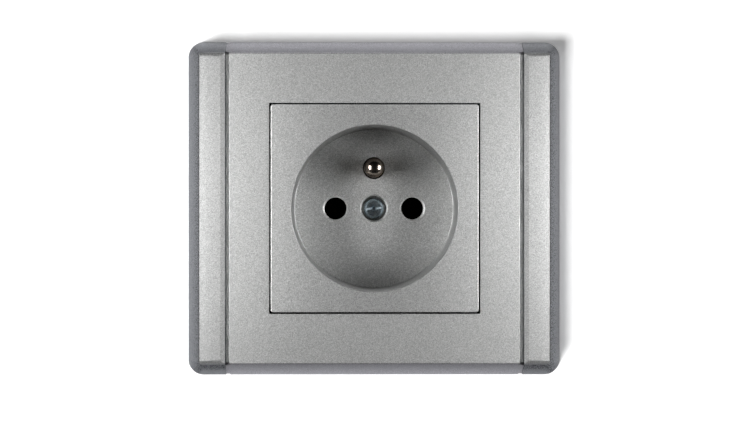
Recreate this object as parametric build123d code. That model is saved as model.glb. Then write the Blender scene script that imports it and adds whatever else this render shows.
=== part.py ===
from build123d import *
import math
import os

# Flush wall socket with an earth pin, as it hangs on the wall.
# X runs right, Z up and Y into the wall. The origin is on the socket's axis in the wall's plane.

# Overall sizes
frame_width = 91.2
frame_height = 81.6
frame_depth = 10.0
base_depth = 30.0

# Frame shell
outline_corner = 3.8
flank_run = 3.1
wing_wall = 1.4
panel_edge = 0.15
window_edge = 0.1
smallest_corner = 0.2

# Side trims, and the grooves between them and the panel
trim_width = 6.2
trim_face_wall = 1.6
trim_flank_wall = 1.0
trim_edge = 0.25
trim_end_round = 1.3
trim_slope_width = 1.1
trim_slope_drop = 0.3
trim_crown_width = 3.4
trim_crown_drop = 0.04
trim_lip = 0.3
trim_lip_width = 0.3
trim_fit = 0.05
groove_width = 1.1
seam_width = 0.2
seam_depth = 0.5
groove_end_inset = 0.2
groove_draft = 0.2
hook_length = 6.0
hook_wall = 1.2
hook_nose = 0.5
hook_spacing = 26.0
hook_fit = 0.2

# Window and centre plate
plate_size = 50.3
plate_corner = 0.5
plate_proud = 0.6
plate_thickness = 2.2
plate_edge = 0.12
window_gap = 0.42
ledge_width = 1.8
collar_wall = 1.4
collar_clearance = 0.2
rib_wall = 1.0
rib_spacing = 36.0
skirt_wall = 1.2
skirt_depth = 3.4
skirt_fit = 0.2

# Recess
recess_depth = 15.5
recess_mouth_radius = 20.25
recess_floor_radius = 19.65
recess_lip = 0.09
floor_edge = 0.1
well_wall = 1.2
floor_thickness = 2.0

# Contacts, earth pin and cover screw, where the plug meets the socket
contact_pitch = 19.0
contact_hole_radius = 2.75
contact_hole_chamfer = 0.45
spout_wall = 0.95
spout_depth = 4.1
pin_radius = 2.4
pin_root_step = 0.2
pin_root_proud = 0.3
pin_offset = 10.0
pin_below_face = 1.5
pin_hole_fit = 0.35
screw_hole_fit = 0.3
screw_hole_radius = 3.1
screw_hole_chamfer = 0.4
screw_hole_depth = 3.0
screw_seat = 1.5
screw_boss_wall = 1.0
screw_head_radius = 2.5
screw_head_height = 2.0
screw_head_edge = 0.25
screw_dish_radius = 2.15
screw_dish_depth = 0.25
screw_drive_depth = 0.9
screw_core_radius = 0.6
screw_wing_reach = 1.85
screw_wing_width = 0.55
screw_mark_reach = 1.35
screw_mark_size = 0.15
screw_turn = 5.0
screw_shank_radius = 1.5
screw_point = 0.6
screw_thread_fit = 0.05
screw_shank_length = 12.0

# Support ring
ring_thickness = 1.2
fixing_pitch = 60.0
ring_margin = 5.5
ring_corner = 8.0
fixing_hole_radius = 2.1
slot_width = 3.8
slot_sweep = 20.0
keyhole_radius = 3.7
ring_notch = 4.0
rivet_radius = 1.25
rivet_head_radius = 2.1
rivet_head = 0.8
rivet_fit = 0.1

# Base
well_fit = 0.4
base_wall = 1.6
base_corner = 14.0
base_back_wall = 3.6
base_chamfer = 1.2
rivet_flange = 3.0
rivet_pocket_radius = 2.7
cover_float = 0.3
cover_thickness = 2.0
cover_fit = 0.25
cover_screw_radius = 1.2
cover_screw_head_radius = 2.2
cover_screw_length = 8.0
cover_screw_circle = 16.5
cover_screw_angles = (40, 140, 270)
bush_radius = 2.6
bush_length = 6.0
bush_sink = 0.5

# Contact clips and straps
strip = 0.7
clip_width = 6.0
clip_gap = 4.6
clip_mouth = 1.0
chamber_fit = 0.6
spring_strip = 0.5
spring_width = 4.0
part_fit = 0.05

# Terminals
terminal_z = 16.9
terminal_width = 9.0
terminal_length = 10.0
terminal_strip = 0.8
thread_collar = 1.2
thread_collar_wall = 0.9
wire_room = 2.7
wire_radius = 1.8
wire_spacing = 6.4
clamp_wall = 1.2
clamp_lip = 0.8
terminal_screw_radius = 1.65
terminal_head_radius = 3.0
terminal_head = 2.2
terminal_sink = 1.6
slot_cut = 0.8

# Earth pin's seat
pin_collar_radius = 3.6
pin_collar = 2.6
pin_tail_radius = 1.9
pin_peen_radius = 2.6
pin_peen = 0.9

# Depths that follow, from the front to the back
face_y = -frame_depth
plate_y = face_y - plate_proud
ledge_y = plate_y + plate_thickness
floor_y = plate_y + recess_depth
floor_back_y = floor_y + floor_thickness
cover_y = floor_back_y + cover_float
shelf_y = cover_y + cover_thickness
pocket_back_y = base_depth - base_back_wall
web_y = pocket_back_y - spring_strip - part_fit - strip - chamber_fit / 2
screw_seat_y = floor_y + screw_hole_depth
screw_boss_y = screw_seat_y + screw_seat
bush_y = screw_boss_y + bush_sink
strap_y = shelf_y + pin_collar
terminal_y = web_y + strip - terminal_length / 2

# Widths and radii that follow
flank_angle = math.degrees(math.atan(flank_run / frame_depth))
face_width = frame_width - 2 * flank_run
face_height = frame_height - 2 * flank_run
trim_inner_x = face_width / 2 - trim_width
panel_half = trim_inner_x - groove_width
window_size = plate_size + 2 * window_gap
collar_opening = window_size - 2 * ledge_width
collar_outer = collar_opening + 2 * collar_wall
skirt_size = collar_opening - 2 * skirt_fit
well_mouth_radius = recess_mouth_radius + well_wall
well_floor_radius = recess_floor_radius + well_wall
cavity_radius = well_mouth_radius
ring_opening_radius = cavity_radius + well_fit
ring_size = fixing_pitch + 2 * ring_margin
spout_radius = contact_hole_radius + spout_wall
screw_boss_radius = screw_hole_radius + screw_boss_wall
pin_hole_radius = pin_radius + pin_hole_fit
contact_x = contact_pitch / 2
clip_half = clip_gap / 2 + strip
clip_out = clip_half + part_fit + spring_strip
chamber_half = clip_out + chamber_fit
terminal_half = terminal_width / 2 + chamber_fit
terminal_stack = terminal_strip / 2 + wire_room + clamp_wall + terminal_head + terminal_sink
base_width = 2 * (cavity_radius + base_wall)
base_height = 2 * (terminal_z + terminal_stack)
rivet_place = (base_width / 2 - base_corner) + (base_corner - rivet_head_radius) / math.sqrt(2) + 0.8
hook_x = trim_inner_x + trim_width / 2
corner_ease = 0.02
past = 1.0


def facing(y):
    """Drawing plane at depth y, seen from the room: X right and Z up."""
    return Plane(origin=(0, y, 0), x_dir=(1, 0, 0), z_dir=(0, -1, 0))


def slab(outline, front, back):
    """Straight body with this outline from depth front to depth back."""
    return extrude(facing(back) * outline, amount=back - front)


def rod(radius, front, back, x=0.0, z=0.0):
    """Round bar along Y."""
    return slab(Pos(x, z) * Circle(radius), front, back)


def turned(*points):
    """Body turned about the Y axis from (radius, depth) points."""
    return revolve(make_face(Polyline(*points, close=True)), Axis.Y)


def turned_upright(*points):
    """Body turned about the Z axis from (radius, height) points."""
    return revolve(Plane.XZ * make_face(Polyline(*points, close=True)), Axis.Z)


def bent_strip(points, radius, thickness):
    """Outline of a metal strip that follows a bent centre line."""
    return trace(FilletPolyline(*points, radius=radius), line_width=thickness)


def on_both_sides(shape):
    """The shape and its mirror image across the middle plane."""
    return shape + mirror(shape, Plane.YZ)


def tapered_block(outline, front):
    """Block on an outline in the wall's plane, narrowing at the flanks' slope up to depth front."""
    return extrude(facing(0) * outline, amount=-front, taper=flank_angle)


def frame_block(side_inset, front_inset):
    """The frame's tapered outline as a solid, drawn in at the flanks and at the face."""
    front = face_y + front_inset
    width = frame_width - 2 * side_inset
    height = frame_height - 2 * side_inset
    narrowest = -front * math.tan(math.radians(flank_angle)) + smallest_corner
    corner = max(outline_corner - side_inset, narrowest)
    return tapered_block(RectangleRounded(width, height, corner), front)


def frame_hollow():
    """The space behind the frame's walls, with sharp corners."""
    side_inset = trim_flank_wall + trim_fit + wing_wall
    outline = Rectangle(frame_width - 2 * side_inset, frame_height - 2 * side_inset)
    return tapered_block(outline, face_y + trim_face_wall + wing_wall)


def panel_prism():
    """Wedge that parts the middle panel from the trims, a little wider at the wall."""
    front = panel_half
    back = panel_half + groove_draft
    outline = Polygon(
        (-front, face_y - past),
        (front, face_y - past),
        (back, past),
        (-back, past),
        align=None,
    )
    return extrude(outline, amount=frame_height, both=True)


def round_front(body, radius):
    """Round all edges of the body's foremost flat face."""
    edges = body.faces().filter_by(Axis.Y).sort_by(Axis.Y)[0].edges()
    return fillet(edges, radius)


def frame():
    """Moulded frame: panel, lowered wings, window, ledge, collar and ribs."""
    panel = round_front(frame_block(0, 0) & panel_prism(), panel_edge)
    body = panel + frame_block(trim_flank_wall + trim_fit, trim_face_wall)
    between_trims = Rectangle(2 * (trim_inner_x - trim_fit), frame_height)
    body += frame_block(groove_end_inset, trim_face_wall) & slab(between_trims, face_y, 0)
    hollow = frame_hollow()
    body -= hollow
    body -= slab(Rectangle(window_size, window_size), face_y - past, ledge_y)
    opening = Rectangle(collar_opening, collar_opening)
    collar = Rectangle(collar_outer, collar_outer)
    collar_back = -ring_thickness - collar_clearance
    body += slab(collar, ledge_y, collar_back)
    rib_room = slab(Rectangle(frame_width, frame_height), face_y, collar_back - collar_clearance)
    across = GridLocations(0, rib_spacing, 1, 2) * Rectangle(frame_width, rib_wall)
    upright = GridLocations(rib_spacing, 0, 2, 1) * Rectangle(rib_wall, frame_height)
    ribs = slab(Sketch() + across + upright, face_y + trim_face_wall + wing_wall / 2, 0)
    body += (ribs & hollow) & rib_room
    body -= slab(opening, face_y, past)
    body -= hook_slots()
    body -= on_both_sides(seam_channel())
    rim = body.edges().filter_by_position(Axis.Y, face_y - 0.01, face_y + 0.01)
    inner_rim = rim.filter_by(lambda edge: abs(edge.center().X) < window_size / 2 + 0.1)
    inner_rim = inner_rim.filter_by(lambda edge: abs(edge.center().Z) < window_size / 2 + 0.1)
    return fillet(inner_rim, window_edge)


def seam_channel():
    """Narrow channel in a wing that takes the right trim's lip and leaves an open seam beside it."""
    inner_x = trim_inner_x - seam_width
    outer_x = trim_inner_x + trim_lip_width + trim_fit
    channel = Pos((inner_x + outer_x) / 2, 0) * Rectangle(outer_x - inner_x, frame_height)
    return slab(channel, face_y, face_y + trim_face_wall + seam_depth)


def hook_slots():
    """Slots in the wings for the trims' hooks."""
    width = hook_wall + hook_nose + 2 * hook_fit
    slot = Pos(hook_x + hook_nose / 2, 0) * Rectangle(width, hook_length + 2 * hook_fit)
    slots = GridLocations(0, hook_spacing, 1, 3) * slot
    return on_both_sides(slab(Sketch() + slots, face_y, face_y + trim_face_wall + wing_wall + past))


def trim_hook():
    """One snap hook under a trim's face, with its nose towards the outside."""
    root = face_y + trim_face_wall / 2
    under = face_y + trim_face_wall + wing_wall + hook_fit
    tip = under + 2 * hook_nose
    near = hook_x - hook_wall / 2
    far = hook_x + hook_wall / 2
    outline = Polygon(
        (near, root),
        (far, root),
        (far, under),
        (far + hook_nose, under),
        (far + hook_nose, under + hook_nose / 2),
        (far, tip),
        (near, tip),
        align=None,
    )
    return extrude(outline, amount=hook_length / 2, both=True)


def trim_section():
    """A trim's outline across its width, seen from above: slope, crowned face and outer flank."""
    face_end = face_width / 2
    crown_start = face_end - trim_crown_width
    crown_middle = (crown_start + face_end) / 2
    flank_end = frame_width / 2
    corner = (face_end, face_y + trim_crown_drop)
    outline = Polygon(
        (trim_inner_x, past),
        (trim_inner_x, face_y + trim_slope_drop),
        (trim_inner_x + trim_slope_width, face_y),
        (crown_start, face_y),
        (crown_middle, face_y + trim_crown_drop / 4),
        corner,
        (flank_end, 0),
        (flank_end, past),
        align=None,
    )
    outer_edge = outline.vertices().sort_by_distance((corner[0], corner[1], 0))[0]
    return fillet(outer_edge, trim_edge)


def trim_end_section():
    """A trim's outline along its length, with its face rounded off at both ends."""
    outline = Polygon(
        (-frame_height / 2, past),
        (-frame_height / 2, 0),
        (-face_height / 2, face_y),
        (face_height / 2, face_y),
        (frame_height / 2, 0),
        (frame_height / 2, past),
        align=None,
    )
    ends = outline.vertices().sort_by(Axis.Y)[0:2]
    return fillet(ends, trim_end_round)


def right_side_trim():
    """Side strip: a shell over the face's edge and three flanks, with its lip and snap hooks."""
    across = extrude(trim_section(), amount=frame_height, both=True)
    along_plane = Plane(origin=(0, 0, 0), x_dir=(0, 0, 1), z_dir=(-1, 0, 0))
    along = extrude(along_plane * trim_end_section(), amount=frame_width, both=True)
    body = (across & along) & frame_block(-corner_ease, -corner_ease)
    body -= frame_block(trim_flank_wall, trim_face_wall)
    lip_length = face_height - 2 * trim_end_round
    lip = Pos(trim_inner_x + trim_lip_width / 2, 0) * Rectangle(trim_lip_width, lip_length)
    lip_back = face_y + trim_face_wall + trim_lip
    body += slab(lip, face_y + trim_slope_drop, lip_back)
    for place in GridLocations(0, hook_spacing, 1, 3):
        body += Pos(0, 0, place.position.Y) * trim_hook()
    return body


def recess_solid():
    """The space of the round recess, open to the room, with its eased lip and floor edge."""
    return turned(
        (0, plate_y - past),
        (recess_mouth_radius + recess_lip, plate_y - past),
        (recess_mouth_radius + recess_lip, plate_y),
        (recess_mouth_radius + recess_lip * 0.3, plate_y + recess_lip * 0.3),
        (recess_mouth_radius, plate_y + recess_lip),
        (recess_floor_radius, floor_y - floor_edge),
        (recess_floor_radius - floor_edge, floor_y),
        (0, floor_y),
    )


def centre_plate():
    """Square plate moulded in one with the recess, its floor, spouts and screw boss."""
    plate = slab(RectangleRounded(plate_size, plate_size, plate_corner), plate_y, ledge_y)
    plate = round_front(plate, plate_edge)
    skirt_outer = RectangleRounded(skirt_size, skirt_size, plate_corner)
    skirt_inner = Rectangle(skirt_size - 2 * skirt_wall, skirt_size - 2 * skirt_wall)
    plate += slab(skirt_outer - skirt_inner, ledge_y, ledge_y + skirt_depth)
    brace = Rectangle(skirt_size * math.sqrt(2) - 2 * skirt_wall, skirt_wall)
    braces = Rot(0, 0, 45) * brace + Rot(0, 0, -45) * brace
    plate += slab(braces, ledge_y, ledge_y + skirt_depth)
    plate += turned(
        (0, plate_y + plate_edge),
        (well_mouth_radius, plate_y + plate_edge),
        (well_floor_radius, floor_back_y),
        (0, floor_back_y),
    )
    plate += rod(screw_boss_radius, floor_y, screw_boss_y)
    for x in (-contact_x, contact_x):
        plate += rod(spout_radius, floor_y, floor_y + spout_depth, x)
    plate -= recess_solid()
    for x in (-contact_x, contact_x):
        plate -= rod(contact_hole_radius, floor_y - past, base_depth, x)
        plate -= Pos(x, 0, 0) * countersink(contact_hole_radius, contact_hole_chamfer)
    plate -= rod(pin_hole_radius, floor_y - past, base_depth, 0, pin_offset)
    plate -= rod(screw_hole_radius, floor_y - past, screw_seat_y)
    plate -= countersink(screw_hole_radius, screw_hole_chamfer)
    return plate - rod(screw_shank_radius + screw_hole_fit, floor_y, base_depth)


def countersink(radius, chamfer_size):
    """Chamfer cutter at the recess floor, for a hole on the Y axis."""
    return turned(
        (0, floor_y - past),
        (radius + chamfer_size + past, floor_y - past),
        (radius, floor_y + chamfer_size),
        (0, floor_y + chamfer_size),
    )


def cross_wing(width):
    """Cutter for two opposite wings of the cross recess, sloping up at both ends."""
    outline = Polygon(
        (-screw_wing_reach, -past),
        (screw_wing_reach, -past),
        (screw_wing_reach, 0),
        (screw_core_radius, screw_drive_depth),
        (-screw_core_radius, screw_drive_depth),
        (-screw_wing_reach, 0),
        align=None,
    )
    return extrude(outline, amount=width / 2, both=True)


def cross_recess():
    """Cross recess with a pointed core and four fine marks between its wings."""
    wing = cross_wing(screw_wing_width)
    core = turned(
        (0, -past),
        (screw_core_radius, -past),
        (screw_core_radius, screw_drive_depth),
        (0, screw_drive_depth + screw_core_radius),
    )
    mark = Rectangle(2 * screw_mark_reach, screw_mark_size)
    marks = slab(Rot(0, 0, 45) * mark + Rot(0, 0, -45) * mark, -past, screw_mark_size)
    return wing + Rot(0, 90, 0) * wing + core + marks


def cover_screw():
    """Screw that holds the centre plate, with a dished head and a cross recess turned to the room."""
    top = screw_seat_y - screw_head_height
    dish = top + screw_dish_depth
    shank_end = screw_seat_y + screw_shank_length
    body = turned(
        (0, dish),
        (screw_dish_radius - screw_dish_depth, dish),
        (screw_dish_radius, top),
        (screw_head_radius - screw_head_edge, top),
        (screw_head_radius, top + screw_head_edge),
        (screw_head_radius, screw_seat_y),
        (screw_shank_radius, screw_seat_y),
        (screw_shank_radius, shank_end - screw_point),
        (screw_shank_radius - screw_point, shank_end),
        (0, shank_end),
    )
    return body - Pos(0, dish, 0) * Rot(0, -screw_turn, 0) * cross_recess()


def cover_screw_bush():
    """Threaded brass bush in the base, with a groove round its middle."""
    bore = screw_shank_radius + screw_thread_fit
    middle = bush_y + bush_length / 2
    groove = 0.3
    return turned(
        (bore, bush_y),
        (bush_radius, bush_y),
        (bush_radius, middle - groove),
        (bush_radius - groove, middle),
        (bush_radius, middle + groove),
        (bush_radius, bush_y + bush_length),
        (bore, bush_y + bush_length),
    )


def support_ring():
    """Flat steel ring with fixing slots, keyholes, round holes and edge notches."""
    sheet = RectangleRounded(ring_size, ring_size, ring_corner) - Circle(ring_opening_radius)
    slot = SlotArc(CenterArc((0, 0), fixing_pitch / 2, -slot_sweep / 2, slot_sweep), slot_width)
    keyhole = Rot(0, 0, slot_sweep / 2) * Pos(fixing_pitch / 2, 0) * Circle(keyhole_radius)
    sheet -= PolarLocations(0, 2) * (slot + keyhole)
    sheet -= GridLocations(0, fixing_pitch, 1, 2) * Circle(fixing_hole_radius)
    notch = Rectangle(ring_notch, ring_notch)
    sheet -= PolarLocations(ring_size / 2 + ring_notch / 4, 4) * notch
    sheet -= rivet_places() * Circle(rivet_radius + rivet_fit)
    return slab(sheet, -ring_thickness, 0)


def rivet_places():
    """The four rivets, in the corners of the base."""
    return GridLocations(2 * rivet_place, 2 * rivet_place, 2, 2)


def ring_rivets():
    """Four rivets, each with a domed head on the ring and a formed tail behind the flange."""
    front = -ring_thickness
    rivet = turned(
        (0, front - rivet_head),
        (rivet_head_radius, front - rivet_head),
        (rivet_head_radius, front),
        (rivet_radius, front),
        (rivet_radius, rivet_flange),
        (rivet_head_radius, rivet_flange),
        (rivet_head_radius, rivet_flange + rivet_head),
        (0, rivet_flange + rivet_head),
    )
    solids = [Pos(place.position.X, 0, place.position.Y) * rivet for place in rivet_places()]
    return Compound(children=solids)


def socket_base():
    """Moulded insulating body with the well, contact chambers, terminal pockets and wire holes."""
    outline = RectangleRounded(base_width, base_height, base_corner)
    body = slab(outline, 0, base_depth)
    back_rim = body.faces().filter_by(Axis.Y).sort_by(Axis.Y)[-1].edges()
    body = chamfer(back_rim, base_chamfer)
    body -= rod(cavity_radius, -past, shelf_y)
    rivet_holes = rivet_places() * Circle(rivet_radius + rivet_fit)
    body -= slab(Sketch() + rivet_holes, -past, rivet_flange + past)
    rivet_pockets = rivet_places() * Circle(rivet_pocket_radius)
    body -= slab(Sketch() + rivet_pockets, rivet_flange, base_depth + past)
    for x in (-contact_x, contact_x):
        body -= contact_chamber(x)
        body -= terminal_pocket(x, web_y + strip - terminal_length - chamber_fit)
    body -= mirror(terminal_pocket(0, strap_y), Plane.XY)
    body -= earth_seat()
    body -= rod(screw_boss_radius + cover_fit, shelf_y - past, screw_boss_y + cover_fit)
    body -= rod(bush_radius + part_fit, shelf_y - past, bush_y + bush_length + part_fit)
    body -= rod(screw_shank_radius + cover_fit, shelf_y, screw_seat_y + screw_shank_length + past)
    for angle in cover_screw_angles:
        x, z = cover_screw_position(angle)
        body -= rod(cover_screw_radius + part_fit, shelf_y - past, cover_y + cover_screw_length + past, x, z)
    return body


def contact_chamber(x):
    """Room for one contact clip and its strap."""
    clip_room = Pos(x, 0) * Rectangle(2 * chamber_half, clip_width + 2 * chamber_fit)
    chamber = slab(clip_room, shelf_y - past, pocket_back_y)
    strap_half = clip_width / 2 + chamber_fit
    strap_room = Pos(x, -terminal_z / 2) * Rectangle(2 * strap_half, terminal_z)
    return chamber + slab(strap_room, web_y - chamber_fit, pocket_back_y)


def terminal_pocket(x, front):
    """Pocket for one terminal, open below, with its two wire holes through the back wall."""
    top = -terminal_z + terminal_strip / 2 + thread_collar + 1.2
    length = base_height / 2 + top + past
    room = Pos(x, top - length / 2) * Rectangle(2 * terminal_half, length)
    pocket = slab(room, front, pocket_back_y)
    wire_z = -(terminal_z + terminal_strip / 2 + wire_room / 2)
    for side in (-wire_spacing / 2, wire_spacing / 2):
        pocket += rod(wire_radius, pocket_back_y - past, base_depth + past, x + side, wire_z)
    return pocket


def earth_seat():
    """Room for the earth pin's collar, the strap and the peened tail."""
    low = pin_offset - pin_collar_radius - chamber_fit
    high = terminal_z + terminal_strip / 2 + chamber_fit
    room = Pos(0, (low + high) / 2) * Rectangle(2 * terminal_half, high - low)
    seat = slab(room, shelf_y - past, strap_y + terminal_strip)
    peen_back = strap_y + terminal_strip + pin_peen + chamber_fit
    return seat + rod(pin_peen_radius + chamber_fit, shelf_y, peen_back, 0, pin_offset)


def cover_screw_position(angle):
    """Place of a contact cover screw, in X and Z."""
    turn = math.radians(angle)
    return cover_screw_circle * math.cos(turn), cover_screw_circle * math.sin(turn)


def contact_cover():
    """Insulating disc over the contact chambers."""
    body = rod(cavity_radius - cover_fit, cover_y, shelf_y)
    for x in (-contact_x, contact_x):
        body -= rod(spout_radius + cover_fit, cover_y - past, shelf_y + past, x)
    body -= rod(screw_boss_radius + cover_fit, cover_y - past, shelf_y + past)
    body -= rod(pin_radius + pin_root_step + part_fit, cover_y - past, shelf_y + past, 0, pin_offset)
    for angle in cover_screw_angles:
        x, z = cover_screw_position(angle)
        body -= Pos(x, 0, z) * cover_screw_cutter()
    return body


def cover_screw_cutter():
    """Countersunk hole in the contact cover."""
    cone = cover_screw_head_radius - cover_screw_radius
    radius = cover_screw_radius + part_fit
    return turned(
        (0, cover_y - past),
        (radius + cone, cover_y - past),
        (radius + cone, cover_y),
        (radius, cover_y + cone),
        (radius, shelf_y + past),
        (0, shelf_y + past),
    )


def contact_cover_screws():
    """Three countersunk screws with slotted heads."""
    cone = cover_screw_head_radius - cover_screw_radius
    tip = cover_y + cover_screw_length
    screw = turned(
        (0, cover_y),
        (cover_screw_head_radius, cover_y),
        (cover_screw_radius, cover_y + cone),
        (cover_screw_radius, tip),
        (0, tip),
    )
    slot_outline = Rectangle(2 * cover_screw_head_radius + past, slot_cut / 2)
    slot = slab(slot_outline, cover_y - past, cover_y + cone / 2)
    screw -= slot
    solids = []
    for angle in cover_screw_angles:
        x, z = cover_screw_position(angle)
        solids.append(Pos(x, 0, z) * screw)
    return Compound(children=solids)


def left_contact():
    """Folded brass contact: sprung clip, strap and tapped terminal plate."""
    middle = clip_half - strip / 2
    mouth_y = shelf_y + clip_mouth
    pinch_y = mouth_y + 3 * clip_mouth
    centre_y = web_y + strip / 2
    side = [
        (middle + clip_mouth, mouth_y),
        (middle, pinch_y),
        (middle + strip / 2, centre_y),
    ]
    other = [(-x, y) for x, y in reversed(side)]
    clip = extrude(bent_strip(side + other, strip, strip), amount=clip_width / 2, both=True)
    strap_line = [
        (centre_y, clip_width / 2),
        (centre_y, -terminal_z),
        (web_y + strip - terminal_length, -terminal_z),
    ]
    outline = Plane.YZ * bent_strip(strap_line, terminal_strip, strip)
    strap = extrude(outline, amount=clip_width / 2, both=True)
    body = clip + strap + terminal_plate()
    return Pos(-contact_x, 0, 0) * (body - terminal_bore())


def terminal_plate():
    """Wide end of a strap with its thread collar on the inner side."""
    inset = 1.5
    y_low = web_y + strip - terminal_length
    pad = Pos(0, (y_low + web_y) / 2 - inset / 2) * Rectangle(terminal_width, web_y - y_low - inset)
    plate = Pos(0, 0, -terminal_z) * extrude(pad, amount=terminal_strip / 2, both=True)
    collar = Pos(0, terminal_y) * Circle(terminal_screw_radius + thread_collar_wall)
    top = -terminal_z + terminal_strip / 2
    return plate + Pos(0, 0, top) * extrude(collar, amount=thread_collar)


def terminal_bore():
    """Tapped hole through a terminal plate and its collar."""
    circle = Pos(0, terminal_y) * Circle(terminal_screw_radius + part_fit)
    return Pos(0, 0, -terminal_z) * extrude(circle, amount=3 * thread_collar, both=True)


def left_contact_spring():
    """Steel spring that hugs the clip from behind."""
    spring_y = pocket_back_y - chamber_fit / 2 - spring_strip / 2
    middle = clip_half + part_fit + spring_strip / 2
    pinch_y = shelf_y + 4 * clip_mouth
    side = [
        (middle + clip_mouth / 2, pinch_y - clip_mouth),
        (middle + part_fit, pinch_y),
        (middle + strip / 2, spring_y),
    ]
    other = [(-x, y) for x, y in reversed(side)]
    outline = bent_strip(side + other, strip, spring_strip)
    return Pos(-contact_x, 0, 0) * extrude(outline, amount=spring_width / 2, both=True)


def earth_pin():
    """Round-nosed pin with a collar behind the contact cover and a peened tail."""
    tip = plate_y + pin_below_face
    root_y = floor_y - pin_root_proud
    root_radius = pin_radius + pin_root_step
    nose = make_face(
        Polyline((0, tip), (0, tip + pin_radius), (pin_radius, tip + pin_radius))
        + CenterArc((0, tip + pin_radius), pin_radius, 270, 90)
    )
    peen_y = strap_y + terminal_strip
    body = revolve(nose, Axis.Y) + turned(
        (0, tip + pin_radius),
        (pin_radius, tip + pin_radius),
        (pin_radius, root_y),
        (root_radius, root_y),
        (root_radius, shelf_y),
        (pin_collar_radius, shelf_y),
        (pin_collar_radius, strap_y),
        (pin_tail_radius, strap_y),
        (pin_tail_radius, peen_y),
        (pin_peen_radius, peen_y),
        (pin_tail_radius, peen_y + pin_peen),
        (0, peen_y + pin_peen),
    )
    return Pos(0, 0, pin_offset) * body


def earth_strap():
    """Brass strap from the pin's collar up and back to the earth terminal."""
    centre_y = strap_y + terminal_strip / 2
    line = [
        (centre_y, pin_offset - pin_collar_radius),
        (centre_y, terminal_z),
        (web_y + strip, terminal_z),
    ]
    outline = Plane.YZ * bent_strip(line, terminal_strip, terminal_strip)
    strap = extrude(outline, amount=terminal_width / 2, both=True)
    collar = mirror(terminal_plate(), Plane.XY)
    bore = mirror(terminal_bore(), Plane.XY)
    pin_hole = rod(pin_tail_radius + part_fit, strap_y - past, strap_y + terminal_strip + past, 0, pin_offset)
    return strap + collar - bore - pin_hole


def wire_clamp():
    """Saddle clamp below a terminal plate, with lips that keep the wires in."""
    top = -(terminal_z + terminal_strip / 2 + wire_room)
    plate = Pos(0, terminal_y) * Rectangle(terminal_width, terminal_length - 1.5)
    body = Pos(0, 0, top - clamp_wall) * extrude(plate, amount=clamp_wall)
    lips = GridLocations(terminal_width - clamp_lip, 0, 2, 1) * Rectangle(clamp_lip, terminal_length / 2)
    body += Pos(0, terminal_y, top) * extrude(Sketch() + lips, amount=clamp_lip)
    hole = Pos(0, terminal_y) * Circle(terminal_screw_radius + screw_hole_fit / 2)
    return body - Pos(0, 0, top - 2 * clamp_wall) * extrude(hole, amount=4 * clamp_wall)


def terminal_screw():
    """Terminal screw from below, with a slotted cheese head."""
    head_top = -(terminal_z + terminal_strip / 2 + wire_room + clamp_wall)
    head_low = head_top - terminal_head
    tip = -terminal_z + terminal_strip / 2 + thread_collar + 0.4
    body = turned_upright(
        (0, head_low),
        (terminal_head_radius - 0.3, head_low),
        (terminal_head_radius, head_low + 0.3),
        (terminal_head_radius, head_top),
        (terminal_screw_radius, head_top),
        (terminal_screw_radius, tip - 0.4),
        (terminal_screw_radius - 0.4, tip),
        (0, tip),
    )
    slot = Rectangle(2 * terminal_head_radius + past, slot_cut) + Rectangle(slot_cut, 3.4)
    body -= Pos(0, 0, head_low - past) * extrude(slot, amount=past + terminal_head / 2)
    return Pos(0, terminal_y, 0) * body


def save(shape, name):
    """Write one sub-part to its own file."""
    export_step(shape, "parts/" + name + ".step")


os.makedirs("parts", exist_ok=True)

right_trim = right_side_trim()
left_clip = left_contact()
left_spring = left_contact_spring()
clamp = wire_clamp()
clamp_screw = terminal_screw()

save(frame(), "frame")
save(right_trim, "right_side_trim")
save(mirror(right_trim, Plane.YZ), "left_side_trim")
save(centre_plate(), "centre_plate")
save(cover_screw(), "cover_screw")
save(cover_screw_bush(), "cover_screw_bush")
save(support_ring(), "support_ring")
save(ring_rivets(), "ring_rivets")
save(socket_base(), "socket_base")
save(contact_cover(), "contact_cover")
save(contact_cover_screws(), "contact_cover_screws")
save(left_clip, "left_contact")
save(mirror(left_clip, Plane.YZ), "right_contact")
save(left_spring, "left_contact_spring")
save(mirror(left_spring, Plane.YZ), "right_contact_spring")
save(earth_pin(), "earth_pin")
save(earth_strap(), "earth_strap")
save(Pos(-contact_x, 0, 0) * clamp, "left_clamp")
save(Pos(contact_x, 0, 0) * clamp, "right_clamp")
save(mirror(clamp, Plane.XY), "earth_clamp")
save(Pos(-contact_x, 0, 0) * clamp_screw, "left_terminal_screw")
save(Pos(contact_x, 0, 0) * clamp_screw, "right_terminal_screw")
save(mirror(clamp_screw, Plane.XY), "earth_terminal_screw")
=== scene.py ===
import math
from types import SimpleNamespace

import bpy
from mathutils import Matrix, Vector

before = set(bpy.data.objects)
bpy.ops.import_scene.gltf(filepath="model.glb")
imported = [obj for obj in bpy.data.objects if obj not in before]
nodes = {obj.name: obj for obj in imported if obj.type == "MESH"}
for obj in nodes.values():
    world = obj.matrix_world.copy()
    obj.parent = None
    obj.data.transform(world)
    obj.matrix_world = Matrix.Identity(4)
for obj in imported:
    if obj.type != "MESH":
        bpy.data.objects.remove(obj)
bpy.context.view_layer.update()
scene = bpy.context.scene

MM = 0.001

# Where a Mix node has its factor and its vectors: its sockets of other types share their names
MIX_VECTOR_INPUTS = (0, 4, 5)
MIX_VECTOR_OUTPUT = 1


# Node helpers

def fresh_material(name):
    material = bpy.data.materials.new(name)
    material.use_nodes = True
    tree = material.node_tree
    tree.nodes.clear()
    return material, tree


def add(tree, kind, **values):
    node = tree.nodes.new(kind)
    for key, value in values.items():
        setattr(node, key, value)
    return node


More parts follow.
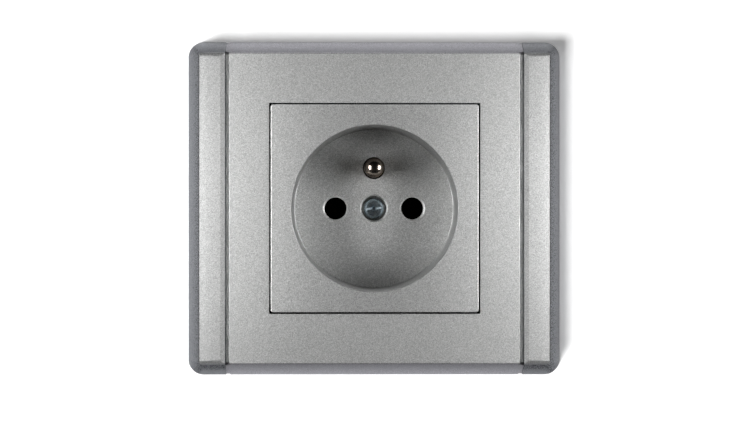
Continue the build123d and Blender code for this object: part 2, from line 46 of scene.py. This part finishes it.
def math_node(tree, operation, *values):
    """Result of a Math node whose values are numbers or sockets."""
    node = add(tree, "ShaderNodeMath", operation=operation)
    for socket, value in zip(node.inputs, values):
        if isinstance(value, (int, float)):
            socket.default_value = value
        else:
            tree.links.new(value, socket)
    return node.outputs[0]


def product(tree, tones):
    total = tones[0]
    for tone in tones[1:]:
        total = math_node(tree, "MULTIPLY", total, tone)
    return total


def either(tree, *sockets):
    """1 where any of the sockets is 1."""
    total = sockets[0]
    for socket in sockets[1:]:
        total = math_node(tree, "MAXIMUM", total, socket)
    return total


def spread(tree, value, low, high, from_low=0.0, from_high=1.0):
    """Value that goes from low to high while the given one goes from from_low to from_high."""
    node = add(tree, "ShaderNodeMapRange")
    tree.links.new(value, node.inputs["Value"])
    node.inputs["From Min"].default_value = from_low
    node.inputs["From Max"].default_value = from_high
    node.inputs["To Min"].default_value = low
    node.inputs["To Max"].default_value = high
    return node.outputs["Result"]


def uneven(tree, value, low, high):
    """Spread of a noise, whose values hardly ever leave the range from 0.3 to 0.7."""
    return spread(tree, value, low, high, 0.3, 0.7)


def tinted(tree, tone, colour, flank_colour=None, flank=None):
    """Colour times a tone, which goes over to the flanks' colour where flank is 1."""
    node = add(tree, "ShaderNodeVectorMath", operation="SCALE")
    node.inputs[0].default_value = colour
    if flank_colour:
        blend = add(tree, "ShaderNodeMix", data_type="VECTOR")
        factor, first, second = (blend.inputs[index] for index in MIX_VECTOR_INPUTS)
        tree.links.new(flank, factor)
        first.default_value = colour
        second.default_value = flank_colour
        tree.links.new(blend.outputs[MIX_VECTOR_OUTPUT], node.inputs[0])
    tree.links.new(tone, node.inputs["Scale"])
    return node.outputs["Vector"]


def principled(tree):
    shader = add(tree, "ShaderNodeBsdfPrincipled")
    output = add(tree, "ShaderNodeOutputMaterial")
    tree.links.new(shader.outputs["BSDF"], output.inputs["Surface"])
    return shader


def place(tree):
    """The point in the frame's own metres: a node's object sits at the origin."""
    return add(tree, "ShaderNodeTexCoord").outputs["Object"]


def axes_of(tree, vector):
    """The vector's X, Y and Z."""
    split = add(tree, "ShaderNodeSeparateXYZ")
    tree.links.new(vector, split.inputs[0])
    return split.outputs


def noise(tree, where, scale, detail=2.0, rough=0.5):
    node = add(tree, "ShaderNodeTexNoise")
    tree.links.new(where, node.inputs["Vector"])
    node.inputs["Scale"].default_value = scale
    node.inputs["Detail"].default_value = detail
    node.inputs["Roughness"].default_value = rough
    return node.outputs["Fac"]


def cells(tree, where, scale):
    node = add(tree, "ShaderNodeTexVoronoi")
    tree.links.new(where, node.inputs["Vector"])
    node.inputs["Scale"].default_value = scale
    return node.outputs["Color"]


def stretched(tree, where, scale):
    node = add(tree, "ShaderNodeMapping")
    tree.links.new(where, node.inputs["Vector"])
    node.inputs["Scale"].default_value = scale
    return node.outputs["Vector"]


def bump(tree, height, distance, strength):
    node = add(tree, "ShaderNodeBump")
    node.inputs["Strength"].default_value = strength
    node.inputs["Distance"].default_value = distance
    tree.links.new(height, node.inputs["Height"])
    return node.outputs["Normal"]


# Tones by place. They paint in shading that the photo shows and the lamps here don't give, so
# it stays on the object under any other light. Each was set by comparing the render with the
# photo. Each table holds (millimetres, tone) points, and the tone goes evenly from point to
# point. Depths and lengths are the ranges in which a tone holds, and a start is where the
# flanks' colour comes in.

# Painted shade in the gap round the centre plate, nearly black, on the larger of across and
# upright
GAP_TONES = ((24.98, 1.0), (25.10, 0.02), (25.62, 0.02), (25.74, 1.0))
FRAME_GAP_DEPTHS = (-9.7, -5.5)
PLATE_GAP_DEPTHS = (-9.9, -5.5)

# Painted shade on the frame's top and bottom flanks, darkest near the face and a little lighter
# than the paint at the wall, on upright
FRAME_FLANK_TONES = ((37.40, 1.0), (37.52, 0.55), (37.9, 0.62), (40.8, 1.15))
FRAME_FLANK_START = (37.4, 37.9)

# Painted shade that dims the highlight on the panel's edges at the grooves, and painted light on
# the grooves' floors, on across
PANEL_EDGE_TONES = ((34.95, 1.0), (35.05, 0.62), (35.25, 0.62), (35.35, 1.0))
PANEL_EDGE_DEPTHS = (-11.0, -9.5)
GROOVE_TONES = ((35.35, 1.0), (35.5, 1.8), (36.2, 1.8), (36.3, 1.0))
GROOVE_DEPTHS = (-9.5, -5.0)
GROOVE_LENGTH = (-1.0, 37.3)

# The centre plate: painted shade that dims the highlights of the recess's lip and wall, on the
# radius; painted light over the floor's middle and painted shade towards its top and bottom, on
# upright; painted shade in the middle of the face and painted light towards its sides, on across
RECESS_WALL_TONES = (
    (19.35, 1.0), (19.5, 0.82), (20.15, 0.82), (20.24, 0.70), (20.36, 0.70), (20.45, 1.0),
)
RECESS_FLOOR_TONES = ((9.0, 1.0), (18.0, 0.72))
RECESS_FLOOR_LEVEL = 1.18
RECESS_FLOOR_DEPTHS = (0.0, 6.0)
PLATE_FACE_TONES = ((4.0, 1.0), (14.0, 1.08), (23.0, 1.28))
PLATE_FACE_LEVEL = 0.82
PLATE_FACE_DEPTHS = (-12.0, -9.9)

# The side trims: painted light on the crown, rising towards the outer edge, on across; painted
# shade that dims the edge's highlight, on the distance beyond the face's side; painted shade on
# the flanks, darkest near the face, on the larger of that and the distance beyond the face's end
TRIM_FACE_SIDE = 42.5
TRIM_FACE_END = 37.7
TRIM_CROWN_TONES = ((39.5, 1.0), (42.0, 1.03))
TRIM_EDGE_TONES = ((-0.22, 1.0), (-0.12, 0.50), (0.12, 0.50), (0.25, 1.0))
TRIM_EDGE_DEPTHS = (-11.0, -7.5)
TRIM_EDGE_LENGTH = (-1.0, 37.2)
TRIM_FLANK_TONES = ((-0.3, 1.0), (0.0, 0.53), (0.3, 0.48), (3.1, 0.73))
TRIM_FLANK_START = (-9.9, -9.2)

# Painted light on the trims' upper ends and painted shade on their lower ends, as from light
# from above, on the distance into the end flank
TRIM_END_START = 0.7
TRIM_TOP_TONES = ((0.0, 1.0), (1.0, 1.38), (1.9, 1.48), (2.9, 1.66))
TRIM_BOTTOM_TONES = ((0.0, 1.0), (0.7, 0.86), (2.0, 0.88), (2.9, 1.22))
UPPER_HALF = (0.0, 99.0)
LOWER_HALF = (-99.0, 0.0)

# The contacts' brass on the depth: painted nearly black in front, so that the contact holes
# look black as in the photo, and plain brass further in
CONTACT_TONES = ((25.0, 0.012), (25.5, 1.0))

# The cover screw's head, on the radius: painted highlights and painted shade, as bright and dark
# rings round its recess and rim
SCREW_TONES = (
    (0.25, 0.8), (0.4, 1.5), (0.55, 1.5), (0.7, 0.75), (1.7, 0.85), (1.95, 1.35), (2.3, 1.35),
    (2.48, 0.6),
)


def places(tree, where):
    """Height, depth, and the distances from the middle: across, upright and radius."""
    x, depth, z = axes_of(tree, where)
    squares = [math_node(tree, "MULTIPLY", value, value) for value in (x, z)]
    return SimpleNamespace(
        height=z,
        depth=depth,
        across=math_node(tree, "ABSOLUTE", x),
        upright=math_node(tree, "ABSOLUTE", z),
        radius=math_node(tree, "SQRT", math_node(tree, "ADD", *squares)),
    )


def steps_of(tree, value, points):
    """Tone that goes evenly from each point to the next."""
    tone = points[0][1]
    for (start, low), (end, high) in zip(points, points[1:]):
        step = spread(tree, value, 1.0, high / low, start * MM, end * MM)
        tone = math_node(tree, "MULTIPLY", step, tone)
    return tone


def within(tree, tone, value, span):
    """Tone where the value is within the span, and 1 elsewhere."""
    low, high = span
    after = math_node(tree, "GREATER_THAN", value, low * MM)
    before = math_node(tree, "LESS_THAN", value, high * MM)
    inside = math_node(tree, "MULTIPLY", after, before)
    change = math_node(tree, "MULTIPLY", math_node(tree, "SUBTRACT", tone, 1.0), inside)
    return math_node(tree, "ADD", change, 1.0)


def gap_shade(tree, spot, depths):
    gap = steps_of(tree, math_node(tree, "MAXIMUM", spot.across, spot.upright), GAP_TONES)
    return within(tree, gap, spot.depth, depths)


def frame_shade(tree, spot):
    flanks = steps_of(tree, spot.upright, FRAME_FLANK_TONES)
    edges = steps_of(tree, spot.across, PANEL_EDGE_TONES)
    groove = within(tree, steps_of(tree, spot.across, GROOVE_TONES), spot.upright, GROOVE_LENGTH)
    return product(tree, (
        flanks,
        within(tree, groove, spot.depth, GROOVE_DEPTHS),
        within(tree, edges, spot.depth, PANEL_EDGE_DEPTHS),
        gap_shade(tree, spot, FRAME_GAP_DEPTHS),
    ))


def frame_flank(tree, spot):
    low, high = FRAME_FLANK_START
    return spread(tree, spot.upright, 0.0, 1.0, low * MM, high * MM)


def plate_shade(tree, spot):
    wall = steps_of(tree, spot.radius, RECESS_WALL_TONES)
    floor_tone = steps_of(tree, spot.upright, RECESS_FLOOR_TONES)
    floor_tone = math_node(tree, "MULTIPLY", floor_tone, RECESS_FLOOR_LEVEL)
    face = steps_of(tree, spot.across, PLATE_FACE_TONES)
    face = math_node(tree, "MULTIPLY", face, PLATE_FACE_LEVEL)
    return product(tree, (
        wall,
        gap_shade(tree, spot, PLATE_GAP_DEPTHS),
        within(tree, floor_tone, spot.depth, RECESS_FLOOR_DEPTHS),
        within(tree, face, spot.depth, PLATE_FACE_DEPTHS),
    ))


def trim_shade(tree, spot):
    beside = math_node(tree, "SUBTRACT", spot.across, TRIM_FACE_SIDE * MM)
    above = math_node(tree, "SUBTRACT", spot.upright, TRIM_FACE_END * MM)
    crown = steps_of(tree, spot.across, TRIM_CROWN_TONES)
    edge = within(tree, steps_of(tree, beside, TRIM_EDGE_TONES), spot.upright, TRIM_EDGE_LENGTH)
    flank = steps_of(tree, math_node(tree, "MAXIMUM", beside, above), TRIM_FLANK_TONES)
    past_corner = math_node(tree, "SUBTRACT", above, beside)
    past_face = math_node(tree, "ADD", above, TRIM_END_START * MM)
    into_end = math_node(tree, "MINIMUM", past_corner, past_face)
    top = steps_of(tree, into_end, TRIM_TOP_TONES)
    bottom = steps_of(tree, into_end, TRIM_BOTTOM_TONES)
    return product(tree, (
        crown,
        flank,
        within(tree, edge, spot.depth, TRIM_EDGE_DEPTHS),
        within(tree, top, spot.height, UPPER_HALF),
        within(tree, bottom, spot.height, LOWER_HALF),
    ))


def trim_flank(tree, spot):
    low, high = TRIM_FLANK_START
    return spread(tree, spot.depth, 0.0, 1.0, low * MM, high * MM)


def contact_shade(tree, spot):
    return steps_of(tree, spot.depth, CONTACT_TONES)


def screw_shade(tree, spot):
    return steps_of(tree, spot.radius, SCREW_TONES)


# Materials

PAINT_ROUGHNESS = (0.45, 0.55)
PAINT_METALLIC = 0.97
PAINT_EDGE_TINT = (0.10, 0.105, 0.115, 1.0)
FLAKE_SCALE = 6800.0
FLAKE_TONES = (0.72, 1.28)
GRAIN_SCALE = 4600.0
GRAIN_TONES = (0.78, 1.22)
GRAIN_DEPTH = 0.004 * MM


def silver_paint(name, colour, shade, flank_colour=None, flank=None):
    """Metallic paint with flakes and a fine grain, times the painted light and shade of its shade
    function, and with a painted cooler colour on the flanks where given.
    """
    material, tree = fresh_material(name)
    shader = principled(tree)
    where = place(tree)
    spot = places(tree, where)
    flake_tone, flake_gloss, _ = axes_of(tree, cells(tree, where, FLAKE_SCALE))
    fine = noise(tree, where, GRAIN_SCALE, rough=0.6)
    broad = noise(tree, where, 60.0, detail=3.0)
    flakes = spread(tree, flake_tone, *FLAKE_TONES)
    grain = math_node(tree, "MULTIPLY", flakes, spread(tree, fine, *GRAIN_TONES, 0.25, 0.75))
    tone = product(tree, (grain, uneven(tree, broad, 0.98, 1.02), shade(tree, spot)))
    at_flank = flank(tree, spot) if flank else None
    colours = tinted(tree, tone, colour, flank_colour, at_flank)
    tree.links.new(colours, shader.inputs["Base Color"])
    tree.links.new(spread(tree, flake_gloss, *PAINT_ROUGHNESS), shader.inputs["Roughness"])
    shader.inputs["Metallic"].default_value = PAINT_METALLIC
    shader.inputs["Specular Tint"].default_value = PAINT_EDGE_TINT
    tree.links.new(bump(tree, fine, GRAIN_DEPTH, strength=0.3), shader.inputs["Normal"])
    return material


def moulded_plastic(name, colour, roughness=0.5):
    """Matte plastic with a fine texture and slightly uneven colour and gloss."""
    material, tree = fresh_material(name)
    shader = principled(tree)
    where = place(tree)
    fine = noise(tree, where, 2500.0)
    broad = noise(tree, where, 45.0, detail=4.0)
    tone = product(tree, (uneven(tree, fine, 0.96, 1.04), uneven(tree, broad, 0.95, 1.05)))
    gloss = uneven(tree, broad, roughness - 0.06, roughness + 0.06)
    tree.links.new(tinted(tree, tone, colour), shader.inputs["Base Color"])
    tree.links.new(gloss, shader.inputs["Roughness"])
    tree.links.new(bump(tree, fine, 0.02 * MM, strength=0.6), shader.inputs["Normal"])
    return material


def plated_metal(
    name, colour, roughness, brushed=(1.0, 1.0, 1.0), scale=1500.0, depth=0.006 * MM,
    shade=None, contrast=0.08, edge=None,
):
    """Metal with fine marks, drawn out into lines where brushed squeezes them along an axis, and
    with painted light and shade by place where a shade is given.
    """
    material, tree = fresh_material(name)
    shader = principled(tree)
    where = place(tree)
    lines = noise(tree, stretched(tree, where, brushed), scale, detail=3.0, rough=0.6)
    broad = noise(tree, where, 220.0, detail=3.0)
    tones = [
        uneven(tree, lines, 1.0 - contrast, 1.0 + contrast),
        uneven(tree, broad, 0.94, 1.06),
    ]
    if shade:
        tones.append(shade(tree, places(tree, where)))
    gloss = uneven(tree, broad, roughness - 0.07, roughness + 0.07)
    tree.links.new(tinted(tree, product(tree, tones), colour), shader.inputs["Base Color"])
    tree.links.new(gloss, shader.inputs["Roughness"])
    shader.inputs["Metallic"].default_value = 1.0
    if edge:
        shader.inputs["Specular Tint"].default_value = (*edge, 1.0)
    tree.links.new(bump(tree, lines, depth, strength=0.7), shader.inputs["Normal"])
    return material


SILVER = (0.50, 0.503, 0.498)
# The frame's flanks get a cooler copy of the paint as painted shade
FRAME_FLANK_SHADED_SILVER = (0.50, 0.496, 0.525)
TRIM_SILVER = (0.445, 0.4475, 0.444)
# The trims' flanks get a cooler copy of their paint as painted shade
TRIM_FLANK_SHADED_SILVER = (0.445, 0.453, 0.473)
BRASS = (0.78, 0.58, 0.28)
ALONG_X = (0.08, 1.0, 1.0)
ALONG_Y = (1.0, 0.1, 1.0)

silver = silver_paint("silver_paint", SILVER, frame_shade, FRAME_FLANK_SHADED_SILVER, frame_flank)
plate_silver = silver_paint("plate_silver", SILVER, plate_shade)
trim_silver = silver_paint("trim_silver", TRIM_SILVER, trim_shade, TRIM_FLANK_SHADED_SILVER, trim_flank)
base_plastic = moulded_plastic("base_plastic", (0.72, 0.72, 0.70))
cover_plastic = moulded_plastic("cover_plastic", (0.022, 0.022, 0.024), roughness=0.55)
zinc = plated_metal("zinc", (0.56, 0.60, 0.64), roughness=0.34)
rolled_zinc = plated_metal("rolled_zinc", (0.62, 0.65, 0.67), roughness=0.36, brushed=ALONG_X)
brass = plated_metal("brass", BRASS, roughness=0.3, brushed=ALONG_Y)
contact_brass = plated_metal(
    "contact_brass", BRASS, roughness=0.3, brushed=ALONG_Y, shade=contact_shade,
    edge=(0.2, 0.15, 0.08),
)
# The earth pin's nickel is much darker and browner than bare nickel: painted shade over the whole
# pin
nickel = plated_metal(
    "nickel", (0.26, 0.225, 0.195), roughness=0.22, depth=0.003 * MM, edge=(0.25, 0.21, 0.18),
)
screw_steel = plated_metal(
    "screw_steel", (0.28, 0.33, 0.36), roughness=0.36, scale=3000.0, depth=0.01 * MM,
    shade=screw_shade, contrast=0.5,
)

finish = {
    "frame": silver,
    "left_side_trim": trim_silver,
    "right_side_trim": trim_silver,
    "centre_plate": plate_silver,
    "cover_screw": screw_steel,
    "cover_screw_bush": brass,
    "support_ring": rolled_zinc,
    "ring_rivets": zinc,
    "socket_base": base_plastic,
    "contact_cover": cover_plastic,
    "contact_cover_screws": zinc,
    "left_contact": contact_brass,
    "right_contact": contact_brass,
    "left_contact_spring": zinc,
    "right_contact_spring": zinc,
    "earth_pin": nickel,
    "earth_strap": brass,
    "left_clamp": zinc,
    "right_clamp": zinc,
    "earth_clamp": zinc,
    "left_terminal_screw": zinc,
    "right_terminal_screw": zinc,
    "earth_terminal_screw": zinc,
}
for name, material in finish.items():
    mesh = nodes[name].data
    mesh.materials.clear()
    mesh.materials.append(material)


# Wall and floor

WALL_Y = 0.0002
WALL_HALF = 0.60
WALL_HOLE_RADIUS = 0.0345
WALL_HOLE_STEPS = 64
FLOOR_Z = -0.60
FLOOR_HALF = 0.6
FLOOR_FRONT = -0.15
FLOOR_BACK = 0.9


def backdrop_material(name, level, lift):
    """Pale sheet, lifted for rays that see it, and clear from behind."""
    material, tree = fresh_material(name)
    diffuse = add(tree, "ShaderNodeBsdfDiffuse")
    diffuse.inputs["Color"].default_value = (level, level, level, 1.0)
    path = add(tree, "ShaderNodeLightPath").outputs
    seen = either(tree, path["Is Camera Ray"], path["Is Glossy Ray"], path["Is Transmission Ray"])
    glow = add(tree, "ShaderNodeEmission")
    tree.links.new(math_node(tree, "MULTIPLY", seen, lift), glow.inputs["Strength"])
    both = add(tree, "ShaderNodeAddShader")
    tree.links.new(diffuse.outputs[0], both.inputs[0])
    tree.links.new(glow.outputs[0], both.inputs[1])
    clear = add(tree, "ShaderNodeBsdfTransparent")
    side = add(tree, "ShaderNodeNewGeometry").outputs["Backfacing"]
    choice = add(tree, "ShaderNodeMixShader")
    tree.links.new(side, choice.inputs[0])
    tree.links.new(both.outputs[0], choice.inputs[1])
    tree.links.new(clear.outputs[0], choice.inputs[2])
    output = add(tree, "ShaderNodeOutputMaterial")
    tree.links.new(choice.outputs[0], output.inputs["Surface"])
    return material


def stage_piece(name, points, faces, material):
    """Mesh that stands round the object and isn't part of it."""
    mesh = bpy.data.meshes.new(name)
    mesh.from_pydata(points, [], faces)
    mesh.materials.append(material)
    piece = bpy.data.objects.new(name, mesh)
    scene.collection.objects.link(piece)
    return piece


def stage_wall(material):
    """Square wall with a round hole, in which the base stands as in its wall box."""
    turns = [2 * math.pi * step / WALL_HOLE_STEPS for step in range(WALL_HOLE_STEPS)]
    hole = [
        (WALL_HOLE_RADIUS * math.cos(turn), WALL_Y, WALL_HOLE_RADIUS * math.sin(turn))
        for turn in turns
    ]
    rim = []
    for x, y, z in hole:
        grow = WALL_HALF / max(abs(x), abs(z))
        rim.append((x * grow, y, z * grow))
    faces = []
    for step in range(WALL_HOLE_STEPS):
        following = (step + 1) % WALL_HOLE_STEPS
        faces.append((step, WALL_HOLE_STEPS + step, WALL_HOLE_STEPS + following, following))
    return stage_piece("wall", hole + rim, faces, material)


def stage_floor(material):
    corners = [
        (-FLOOR_HALF, FLOOR_FRONT, FLOOR_Z),
        (FLOOR_HALF, FLOOR_FRONT, FLOOR_Z),
        (FLOOR_HALF, FLOOR_BACK, FLOOR_Z),
        (-FLOOR_HALF, FLOOR_BACK, FLOOR_Z),
    ]
    return stage_piece("floor", corners, [(0, 1, 2, 3)], material)


wall = stage_wall(backdrop_material("wall_white", level=0.88, lift=0.26))
floor = stage_floor(backdrop_material("floor_white", level=0.85, lift=0.30))


# Lamps

SIDE_SOFTBOX_DISTANCE = 0.130
SIDE_SOFTBOX_TURN = math.radians(55.0)
SIDE_SOFTBOX_RISE = math.radians(1.8)
SIDE_SOFTBOX_SIZE = (0.055, 0.080)

# Name, side and watts
SIDE_SOFTBOXES = (("left_softbox", -1, 0.275), ("right_softbox", 1, 0.256))

# Place, size and watts of each other lamp
TOP_SOFTBOX = ((0, -0.083, 0.288), (0.25, 0.08), 0.5)
WALL_LAMP = ((-0.63, -1.20, -0.54), (0.34, 0.34), 26.0)
BACK_FILL = ((0.35, 0.9, 0.6), (0.7, 0.7), 9.0)
BACK_FILL_TARGET = (0, 0.02, 0)


def receivers(name, pieces):
    """Collection of the only pieces that a lamp lights."""
    group = bpy.data.collections.new(name)
    for piece in pieces:
        group.objects.link(piece)
    return group


def softbox(name, where, size, power, lit=None, target=(0, 0, 0)):
    lamp = bpy.data.lights.new(name, "AREA")
    lamp.shape = "RECTANGLE"
    lamp.size, lamp.size_y = size
    lamp.energy = power
    piece = bpy.data.objects.new(name, lamp)
    scene.collection.objects.link(piece)
    piece.location = where
    piece.rotation_mode = "QUATERNION"
    piece.rotation_quaternion = (Vector(target) - Vector(where)).to_track_quat("-Z", "Y")
    if lit:
        piece.light_linking.receiver_collection = lit


lit_by_softboxes = receivers("lit_by_softboxes", [*nodes.values(), floor])
lit_by_top_softbox = receivers("lit_by_top_softbox", [nodes["frame"], nodes["centre_plate"]])
lit_by_wall_lamp = receivers("lit_by_wall_lamp", [wall])
for name, side, power in SIDE_SOFTBOXES:
    flat = SIDE_SOFTBOX_DISTANCE * math.cos(SIDE_SOFTBOX_RISE)
    where = (
        side * flat * math.sin(SIDE_SOFTBOX_TURN),
        -flat * math.cos(SIDE_SOFTBOX_TURN),
        SIDE_SOFTBOX_DISTANCE * math.sin(SIDE_SOFTBOX_RISE),
    )
    softbox(name, where, SIDE_SOFTBOX_SIZE, power, lit_by_softboxes)
softbox("top_softbox", *TOP_SOFTBOX, lit_by_top_softbox)
softbox("wall_lamp", *WALL_LAMP, lit_by_wall_lamp)
softbox("back_fill", *BACK_FILL, target=BACK_FILL_TARGET)


# World: white where the camera sees it, white in reflections only beyond the wall, and nearly
# dark as a light

WORLD_LIGHT = 0.012
WORLD_WHITE = 1.0

world = bpy.data.worlds.new("studio")
scene.world = world
world.use_nodes = True
tree = world.node_tree
tree.nodes.clear()
heading = axes_of(tree, add(tree, "ShaderNodeTexCoord").outputs["Generated"])
behind = spread(tree, heading["Y"], 0.0, 1.0, 0.0, 0.2)
path = add(tree, "ShaderNodeLightPath").outputs
mirrored = either(tree, path["Is Glossy Ray"], path["Is Transmission Ray"])
mirrored = math_node(tree, "MULTIPLY", mirrored, behind)
white = either(tree, path["Is Camera Ray"], mirrored)
level = spread(tree, white, WORLD_LIGHT, WORLD_WHITE)
backdrop = add(tree, "ShaderNodeBackground")
backdrop.inputs["Color"].default_value = (1.0, 1.0, 1.0, 1.0)
tree.links.new(level, backdrop.inputs["Strength"])
world_output = add(tree, "ShaderNodeOutputWorld")
tree.links.new(backdrop.outputs[0], world_output.inputs["Surface"])


# Camera, with its distance from the frame's face and its focal length in the photo's pixels

DISTANCE = 0.70
FACE_Y = -10.0 * MM
FOCAL_PIXELS = 2888.0
IMAGE_WIDTH = 750.0
CAMERA_X = -9.3 * MM
CAMERA_Z = -0.75 * MM
CAMERA_TURN = math.radians(-0.767)

eye = bpy.data.cameras.new("camera")
eye.sensor_width = 36.0
eye.lens = FOCAL_PIXELS / IMAGE_WIDTH * eye.sensor_width
camera = bpy.data.objects.new("camera", eye)
scene.collection.objects.link(camera)
camera.location = (CAMERA_X, FACE_Y - DISTANCE, CAMERA_Z)
camera.rotation_euler = (math.radians(90), 0, CAMERA_TURN)
scene.camera = camera

scene.view_settings.view_transform = "Standard"
